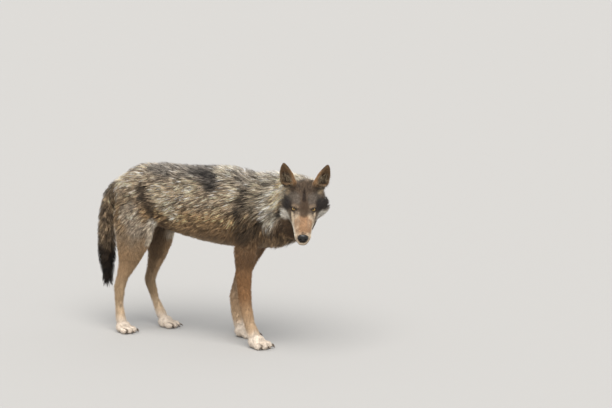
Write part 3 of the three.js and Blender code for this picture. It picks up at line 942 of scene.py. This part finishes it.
def unwrapPlaces(copy, roots):
    # unwraps the part of the copy that lies under these roots, and finds each root on it
    mesh = copy.data
    corners = triangleCorners(mesh)
    tree = BVHTree.FromPolygons(vertexPlaces(mesh).tolist(), corners.tolist())
    hits = [tree.find_nearest(p) for p in roots.tolist()]
    face, at = np.array([h[2] for h in hits]), np.array([h[0] for h in hits])
    used = np.zeros(len(mesh.polygons), bool)
    used[face] = True
    if not mesh.uv_layers:
        mesh.uv_layers.new(name="OFBake")
    editFaces(copy, used)
    angle = math.radians(unwrapShape["angle"])
    bpy.ops.uv.smart_project(angle_limit=angle, island_margin=unwrapShape["margin"],
                             area_weight=unwrapShape["areaWeight"])
    bpy.ops.object.mode_set(mode="OBJECT")
    mesh = copy.data
    uvs = rows(mesh.uv_layers[0].data, "uv", 2).reshape(-1, 3, 2)
    a, b, c = vertexPlaces(mesh)[triangleCorners(mesh)][face].transpose(1, 0, 2)
    normal = np.cross(b - a, c - a)
    scale = np.maximum((normal * normal).sum(1), 1e-18)
    second = (np.cross(at - a, c - a) * normal).sum(1) / scale
    third = (np.cross(b - a, at - a) * normal).sum(1) / scale
    share = np.clip(np.stack([1 - second - third, second, third], 1), 0, 1)
    return np.clip((uvs[face] * share[..., None]).sum(1), 0, 1 - coat["patch"])


def clumpsOf(roots, spacing, crowd):
    # picks the tufts that lead their clumps, and each tuft's leader
    leads = np.flatnonzero(rng.random(len(roots)) < 1 / (spacing ** 2 * crowd))
    tree = KDTree(len(leads))
    for k, place in enumerate(roots[leads].tolist()):
        tree.insert(place, k)
    tree.balance()
    return leads, np.array([tree.find(place)[1] for place in roots.tolist()])


def insideEar(at, normals):
    inside = np.zeros(len(normals))
    for side in (-1, 1):
        e = onEar(at["local"], side)
        out = normals @ fromHead(earFrames[side][1][0])
        here = ease(0.1, 0.5, out) * ease(0.034, 0.026, np.abs(e[:, 1])) * ease(0.074, 0.046, e[:, 2])
        inside = np.maximum(inside, here * (at["local"][:, 1] * side > 0))
    return inside * (at["ear"] > 0.3)


def bareAt(at):
    # the lips' edge, the eyes and the nose have no hair
    local = at["local"]
    above, share = overMouth(local)
    bare = share * (np.abs(above) < 0.0012) * (local[:, 0] < mouthLine["ahead"]) * at["head"]
    for side in (-1, 1):
        near = np.linalg.norm(local - eyePlaces[side], axis=1) < eyeShape["lidReach"]
        bare = np.maximum(bare, near * (lidGap(local, side) < 0.0016))
    return np.maximum(bare, fromNose(local) < 1.12)


def hueAlong(kind, share, tones, contrast, shade):
    # the colour of each tuft from root to tip
    count = len(tones)
    factor = np.exp(np.clip(shade, -1.8, 1.8) * contrast)[:, None]
    grey = (tones @ [0.3, 0.6, 0.1])[:, None] * np.array([1.02, 1.0, 0.94])
    hue = factor * between(tones, grey, np.clip(0.35 * (1 - factor[:, 0]), 0, 0.5))
    # darker towards the root: partly the underfur's own colour, partly painted shade deep in the coat
    lift = 0.84 + 0.22 * share if kind == "short" else 0.62 + 0.55 * ease(0.0, 0.55, share)
    dark = rng.random(count) < coat["darkTips"] * np.clip(contrast, 0, 0.7)
    tip = np.where(dark[:, None], 1 - 0.72 * ease(0.55, 1.0, share), 1 + 0.12 * ease(0.5, 1.0, share))
    return np.clip(hue[:, None] * (lift * tip)[..., None], 0.004, 0.85)


def plantRoots():
    # roots all over the skin, as close as each place's cover needs, but not under the soles
    spots = ground.places[ground.corners].mean(1)
    at = regionsAt(spots)
    crowd = hairSize(at, coatDepth(at))[2]
    roots, normals = ground.scatter(crowd * (spots[:, 2] > 0.004))
    keep = rng.random(len(roots)) > bareAt(regionsAt(roots))
    return roots[keep], normals[keep]


def growCoat():
    # yields the long tufts, those that lie low under them, and the short ones
    roots, normals = plantRoots()
    at = regionsAt(roots)
    depth = coatDepth(at)
    run, width, crowd = hairSize(at, depth)
    seen = roots + coatLie(roots, normals, at) * (coat["seenAt"] * run)[:, None]
    tones, contrast = toneAt(seen, normals, regionsAt(seen))
    long = depth > coat["longFrom"]
    leads, clump = clumpsOf(roots, coat["clumpSpacing"] * np.where(long, 1, 0.5), crowd)
    count = len(roots)
    clumpShade, clumpSwing = (rng.normal(0, coat[key], len(leads)) for key in ("clumpShade", "clumpSwing"))
    clumpRun, clumpRise = (rng.uniform(*coat[key], len(leads)) for key in ("clumpRun", "clumpRise"))
    swing = clumpSwing[clump] + rng.normal(0, coat["ownSwing"], count)
    tailTip = at["tail"] * ease(0.30, 0.23, at["body"][:, 2])
    endOn = tailTip * ease(0.45, 0.85, -normals[:, 2])
    run = run * clumpRun[clump] * rng.uniform(*coat["ownRun"], count)
    run = run * (1 + coat["tipLonger"] * tailTip) * (1 - 0.9 * endOn)
    room = np.array([outline.find_nearest(p)[3] for p in roots.tolist()])
    most = np.where(long, coat["longRise"] + coat["tailRise"] * at["tail"], coat["shortRise"])
    height = np.minimum(room, most * depth) * clumpRise[clump] * rng.uniform(*coat["ownRise"], count)
    height = height * (1 + 0.15 * at["tail"])
    height = height * (1 + coat["tipHigher"] * tailTip * ease(0.1, 0.7, -normals[:, 2]))
    shade = 0.75 * clumpShade[clump] + rng.normal(0, coat["ownShade"], count)
    shade = shade + 0.5 * noise(roots * (1, 1, 1.6), 0.016, 8)
    stray = long & (rng.random(count) < coat["strays"])
    run, height = run * (1 + coat["strayLonger"] * stray), height * (1 + coat["strayHigher"] * stray)
    width = width * (1 - coat["strayThinner"] * stray)
    low = long & ~stray & (rng.random(count) < coat["under"])
    run, height = run * (1 - coat["underShorter"] * low), height * (1 - coat["underFlatter"] * low)
    inner = 0.5 * insideEar(at, normals) > rng.random(count)
    run = np.where(inner, rng.uniform(*coat["earRun"], count), run)
    height = np.where(inner, rng.uniform(*coat["earRise"], count), height)
    earHair = linear(faceTones["earHair"]) * rng.uniform(0.4, 1.1, count)[:, None]
    tones = np.where(inner[:, None], earHair, tones)
    for kind, steps, mine in (("long", 3, long & ~low), ("low", 2, low), ("short", 2, ~long)):
        lines, ups = grow(roots[mine], normals[mine], run[mine], height[mine], swing[mine],
                          tailTip[mine] > 0.85, steps)
        share = np.linspace(0, 1, steps + 1)
        if kind != "short":
            lead = leads[clump[mine]]
            where = np.full(count, -1)
            where[mine] = np.arange(mine.sum())
            pull = coat["gather"] * share ** 1.5 * (where[lead] >= 0)[:, None]
            lines = lines + (lines[where[lead]] - lines) * pull[..., None]
        widths = width[mine] * rng.uniform(*coat["ownWidth"], mine.sum())
        yield {"roots": roots[mine], "lines": lines, "ups": ups, "widths": widths,
               "ramp": hueAlong(kind, share, tones[mine], contrast[mine], shade[mine]),
               "at": {key: value[mine] for key, value in at.items()}}


# each tuft goes to the first region whose test it passes, and there to the right or the left piece
coatRegions = {
    "face": lambda at: (at["head"] > 0.5) & (at["local"][:, 0] > -0.03),
    "head": lambda at: at["head"] + at["ear"] > 0.5,
    "tail": lambda at: at["tail"] > 0.5,
    "neck": lambda at: at["neck"] > 0.5,
    "foreleg": lambda at: (at["body"][:, 2] < 0.40) & at["front"],
    "hindleg": lambda at: (at["body"][:, 2] < 0.38) & (at["body"][:, 0] < -0.15),
    "shoulder": lambda at: at["body"][:, 0] > 0.10,
    "hip": lambda at: at["body"][:, 0] < -0.19,
    "flank": lambda at: np.ones(len(at["body"]), bool),
}
wholePieces = ("face", "head", "tail")


# materials


class Value:
    # a number's socket, whose sums become Math nodes
    def __init__(self, graph, socket):
        self.graph, self.socket = graph, socket

    def sum(self, operation, a, b):
        node = self.graph.add("ShaderNodeMath", {"operation": operation}, {0: a, 1: b})
        return Value(self.graph, node.outputs[0])

    def __add__(self, other):
        return self.sum("ADD", self, other)

    def __sub__(self, other):
        return self.sum("SUBTRACT", self, other)

    def __rsub__(self, other):
        return self.sum("SUBTRACT", other, self)

    def __mul__(self, other):
        return self.sum("MULTIPLY", self, other)

    __radd__, __rmul__ = __add__, __mul__


class Graph:
    # a material's nodes
    def __init__(self, name):
        self.material = bpy.data.materials.new(name)
        self.material.use_nodes = True
        self.tree = self.material.node_tree
        self.shader = self.tree.nodes["Principled BSDF"]

    def add(self, kind, settings=None, inputs=None):
        node = self.tree.nodes.new(kind)
        for key, value in (settings or {}).items():
            if key == "stops":
                ramp = node.color_ramp
                while len(ramp.elements) < len(value):
                    ramp.elements.new(0.5)
                for element, (position, colour) in zip(ramp.elements, value):
                    element.position, element.color = position, (*linear(colour), 1)
            else:
                setattr(node, key, value)
        self.feed(node, inputs or {})
        return node

    def feed(self, node, inputs):
        for key, value in inputs.items():
            socket = node.inputs[key]
            if isinstance(value, Value):
                value = value.socket
            if isinstance(value, bpy.types.NodeSocket):
                self.tree.links.new(value, socket)
            else:
                socket.default_value = value

    def places(self):
        return self.add("ShaderNodeTexCoord").outputs["Object"]

    def stored(self, name, output):
        return self.add("ShaderNodeAttribute", {"attribute_name": name}).outputs[output]

    def grain(self, places, scale, detail):
        node = self.add("ShaderNodeTexNoise", {}, {"Vector": places, "Scale": scale, "Detail": detail})
        return Value(self, node.outputs["Fac"])

    def ramp(self, value, stops):
        return self.add("ShaderNodeValToRGB", {"stops": stops}, {0: value}).outputs[0]

    def shadedTone(self, value, ranges):
        # the stored tone, lighter and darker by a pattern
        shade = self.add("ShaderNodeMapRange", {}, {"Value": value, **ranges}).outputs[0]
        tone = self.stored("tone", "Color")
        return self.add("ShaderNodeVectorMath", {"operation": "SCALE"}, {0: tone, "Scale": shade}).outputs[0]

    def finish(self, **inputs):
        self.feed(self.shader, {key.replace("_", " "): value for key, value in inputs.items()})
        return self.material


finishes = {
    "coat": {"Roughness": 0.62, "Specular_IOR_Level": 0.28},
    "skin": {"Roughness": 0.7, "Specular_IOR_Level": 0.25},
    "claw": {"Roughness": 0.38},
    "eye": {"Roughness": 0.18, "Coat_Weight": 0.45, "Coat_Roughness": 0.03, "Specular_IOR_Level": 0.15},
    "nose": {"Roughness": 0.38},
    "floor": {"Base_Color": (0.36, 0.355, 0.345, 1), "Roughness": 0.9},
}
colourStops = {
    "claw": [(0.3, (44, 36, 30)), (0.75, (104, 88, 72))],
    "nose": [(0.0, (31, 29, 28)), (0.7, (13, 12, 11))],
    "eye": [  # out from the pupil to the white
        (0.0, (3, 3, 4)), (0.135, (5, 4, 4)), (0.155, (84, 64, 34)), (0.22, (160, 132, 78)),
        (0.33, (124, 98, 56)), (0.39, (70, 48, 24)), (0.43, (16, 11, 9)), (1.0, (34, 25, 20)),
    ],
}


def coatMaterial():
    graph = Graph("coatHair")
    fleck = graph.grain(graph.places(), 420.0, 1.0)
    tone = graph.shadedTone(fleck, {"To Min": 0.72, "To Max": 1.28})
    return graph.finish(Base_Color=tone, **finishes["coat"])


def skinMaterial():
    graph = Graph("coatSkin")
    along = graph.stored("grain", "Vector")
    strands, broad = graph.grain(along, 900.0, 2.0), graph.grain(along, 260.0, 2.0)
    tone = graph.shadedTone(strands * 0.6 + broad * 0.4,
                            {"From Min": 0.25, "From Max": 0.75, "To Min": 0.55, "To Max": 1.3})
    bump = graph.add("ShaderNodeBump", {}, {"Strength": 0.5, "Distance": 0.0012, "Height": strands + broad})
    return graph.finish(Base_Color=tone, Normal=bump.outputs[0], **finishes["skin"])


def clawMaterial():
    graph = Graph("claw")
    colour = graph.ramp(graph.grain(graph.places(), 300.0, 3.0), colourStops["claw"])
    return graph.finish(Base_Color=colour, **finishes["claw"])


def eyeMaterial():
    graph = Graph("eye")
    out = Value(graph, graph.stored("fromGaze", "Fac"))
    place = out + graph.grain(graph.places(), 1100.0, 3.0) * 0.05 - 0.025
    return graph.finish(Base_Color=graph.ramp(place, colourStops["eye"]), **finishes["eye"])


def noseMaterial():
    graph = Graph("noseLeather")
    cells = graph.add("ShaderNodeTexVoronoi", {}, {"Vector": graph.places(), "Scale": 620.0})
    cells = cells.outputs["Distance"]
    # near black in the nostrils: painted shade in their hollows
    shaded = graph.add("ShaderNodeMix", {"data_type": "RGBA"})
    graph.feed(shaded, {0: graph.stored("hollow", "Fac"), 6: graph.ramp(cells, colourStops["nose"]),
                        7: (0.004, 0.003, 0.003, 1)})
    bump = graph.add("ShaderNodeBump", {"invert": True},
                     {"Strength": 0.45, "Distance": 0.0005, "Height": cells})
    return graph.finish(Base_Color=shaded.outputs[2], Normal=bump.outputs[0], **finishes["nose"])


def paintSkin():
    # stores the markings, with painted shade where the coat is deep, and the grain that the fine hair follows
    mesh = skin.data
    spots = vertexPlaces(mesh)
    at = regionsAt(spots)
    tones, _ = toneAt(spots, vertexNormals(mesh), at)
    # painted shade: the skin darker where the coat is deep
    shade = 1 - 0.45 * ease(0.006, 0.02, coatDepth(at))
    storeTone(mesh, tones * shade[:, None])
    along = between(at["body"] * (1, 1, 0.22), at["local"] * (0.22, 1, 1), np.round(at["head"]))
    store(mesh.attributes, "grain", "FLOAT_VECTOR", "vector", along)
    mesh.polygons.foreach_set("use_smooth", np.ones(len(mesh.polygons), bool))
    mesh.materials.clear()
    mesh.materials.append(skinMaterial())


paintSkin()
coatMatter = coatMaterial()
unwrap = roughUnwrap()
batches = {}
for hair in growCoat():
    at = hair.pop("at")
    waiting, right = np.ones(len(hair["roots"]), bool), at["body"][:, 1] < 0
    for region, test in coatRegions.items():
        here = waiting & test(at)
        waiting &= ~here
        sides = {"": here} if region in wholePieces else {"_right": here & right, "_left": here & ~right}
        for word, mine in sides.items():
            part = {key: value[mine] for key, value in hair.items()}
            batches.setdefault(f"coat_{region}{word}", []).append(part)
for name, parts in batches.items():
    patch = unwrapPlaces(unwrap, np.concatenate([part["roots"] for part in parts]))
    cuts = np.cumsum([len(part["roots"]) for part in parts])[:-1]
    piece = tuftPiece(name, [
        (part["lines"], part["ups"], part["widths"], part["ramp"], patches)
        for part, patches in zip(parts, np.split(patch, cuts)) if len(part["roots"])])
    piece.data.materials.append(coatMatter)
    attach(piece, "root")
    "tail_coat" if "tail" in name else "leg_coat" if "leg" in name else "coat"
bpy.data.objects.remove(unwrap)


# eyes, nose and claws


def addEye(side, word):
    centre, radius = Vector(boxMiddle(f"eye_{word}")), eyeShape["radius"]
    bpy.ops.mesh.primitive_uv_sphere_add(segments=48, ring_count=32, radius=radius, location=centre)
    eye = bpy.context.view_layer.objects.active
    eye.name = f"eyeball_{word}"
    bpy.ops.object.transform_apply()
    bpy.ops.object.shade_smooth()
    gaze = fromHead(unit(np.array(eyeShape["gaze"]) * (1, side, 1)))
    away = unit(vertexPlaces(eye.data) - np.array(centre)) @ gaze
    angle = np.arccos(np.clip(away, -1, 1)) / (math.pi / 2)
    store(eye.data.attributes, "fromGaze", "FLOAT", "value", angle)
    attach(eye, "root")
    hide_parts(f"eye_{word}")
    return eye


irisMatter = eyeMaterial()
for side, word in ((-1, "right"), (1, "left")):
    addEye(side, word).data.materials.append(irisMatter)

noseShape = {
    "half": (0.0130, 0.0208, 0.0190),
    "square": 2.5,
    "lowerNarrowing": 0.30,
    "lowerBack": 0.0035,
    "ridge": 0.0012,
    "slit": 0.0016,
    "slitWide": 0.0008,
    "nostril": (0.0100, 0.0015),  # out from the middle and up
    "nostrilHalf": (0.0052, 0.0040),
    "nostrilTilt": 0.35,
    "nostrilDeep": 0.0055,
    "notch": (0.0062, 0.0022),  # out and down from the nostril
    "notchHalf": (0.0042, 0.0013),
    "rim": 0.0009,
}


def addNose():
    # a rounded pad with a slit down the middle and a nostril and its side notch on each side
    bpy.ops.mesh.primitive_uv_sphere_add(segments=144, ring_count=96, radius=1)
    piece = bpy.context.view_layer.objects.active
    piece.name = "nose_leather"
    away = unit(vertexPlaces(piece.data))
    half, power = np.array(noseShape["half"]), noseShape["square"]
    size = (np.abs(away) ** power).sum(1) ** (-1 / power)
    local = away * size[:, None] * half
    front = ease(0.0, 0.55, away[:, 0])
    low = ease(0.2, -1.0, away[:, 2])
    local[:, 1] *= 1 - noseShape["lowerNarrowing"] * low
    local[:, 0] -= noseShape["lowerBack"] * low * front
    ridge = ease(0.5, 0.0, np.abs(away[:, 1])) * ease(-0.2, 0.4, away[:, 2])
    local[:, 0] += noseShape["ridge"] * ridge * front
    y, z = np.abs(local[:, 1]), local[:, 2]
    slit = np.exp(-((y / noseShape["slitWide"]) ** 2)) * ease(0.005, -0.002, z) * front
    local[:, 0] -= noseShape["slit"] * slit
    (out, up), (wide, tall) = noseShape["nostril"], noseShape["nostrilHalf"]
    tilt = (z - up) - noseShape["nostrilTilt"] * (y - out)
    hole = ((y - out) / wide) ** 2 + (tilt / tall) ** 2
    (outer, lower), (wide, tall) = noseShape["notch"], noseShape["notchHalf"]
    notch = ((y - out - outer) / wide) ** 2 + ((z - up + lower) / tall) ** 2
    inside = np.maximum(ease(1.25, 0.55, hole), 0.75 * ease(1.5, 0.4, notch)) * front
    local[:, 0] -= noseShape["nostrilDeep"] * inside
    rim = np.exp(-(((np.sqrt(hole) - 1.35) / 0.22) ** 2)) * front
    local[:, 0] += noseShape["rim"] * rim
    placeVertices(piece.data, headOrigin + fromHead(nosePlace + local))
    # the nostrils' hollows, which take painted shade
    store(piece.data.attributes, "hollow", "FLOAT", "value", inside)
    bpy.ops.object.shade_smooth()
    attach(piece, "root")
    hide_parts("nose")
    piece.data.materials.append(noseMaterial())


addNose()
clawMatter = clawMaterial()
for name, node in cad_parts.items():
    if "claw" in name:
        node.data.materials.clear()
        node.data.materials.append(clawMatter)
print("eyes, nose and claws")

# camera, light and floor
studio = {
    "azimuth": 28, "elevation": 11, "distance": 16, "lens": 226.8,
    "aimRight": 0.4332, "aimUp": 0.5523, "aimBack": 0.0955,
    "sky": (0.94, 0.955, 0.98, 1), "skyStrength": 0.80, "floorSize": 40, "litHeight": 0.4,
}
lights = {
    "key": ((0.9, -2.2, 4.6), {"angle": 0.9, "energy": 4.1, "color": (1.0, 0.965, 0.92)}),
    "fill": ((3.4, -3.0, 2.2), {"angle": 1.2, "energy": 0.6, "color": (0.98, 0.98, 1.0)}),
}


def addCamera():
    azimuth, elevation = math.radians(studio["azimuth"]), math.radians(studio["elevation"])
    right = Vector((math.cos(azimuth), math.sin(azimuth), 0))
    level = math.cos(elevation)
    back = Vector((math.sin(azimuth) * level, -math.cos(azimuth) * level, math.sin(elevation)))
    up = back.cross(right)
    aim = Vector(bodyOrigin) + right * studio["aimRight"] + up * studio["aimUp"] + back * studio["aimBack"]
    data = bpy.data.cameras.new("camera")
    data.lens, data.clip_end = studio["lens"], 100
    camera = newObject("camera", data)
    camera.location = aim + back * studio["distance"]
    camera.rotation_euler = back.to_track_quat("Z", "Y").to_euler()
    bpy.context.scene.camera = camera


def addLight(name, place, settings):
    data = bpy.data.lights.new(name, "SUN")
    for key, value in settings.items():
        setattr(data, key, value)
    light = newObject(name, data)
    light.location = place
    away = Vector(place) - Vector((0, 0, studio["litHeight"]))
    light.rotation_euler = away.to_track_quat("Z", "Y").to_euler()


addCamera()
for name, (place, settings) in lights.items():
    addLight(name, place, settings)
world = bpy.data.worlds.new("studio")
world.use_nodes = True
sky = world.node_tree.nodes["Background"].inputs
sky[0].default_value, sky[1].default_value = studio["sky"], studio["skyStrength"]
bpy.context.scene.world = world
bpy.context.scene.view_settings.view_transform = "Standard"
bpy.ops.mesh.primitive_plane_add(size=studio["floorSize"])
floor = bpy.context.view_layer.objects.active
floor.name = "floor"
floor.data.materials.append(Graph("floor").finish(**finishes["floor"]))
print("studio")
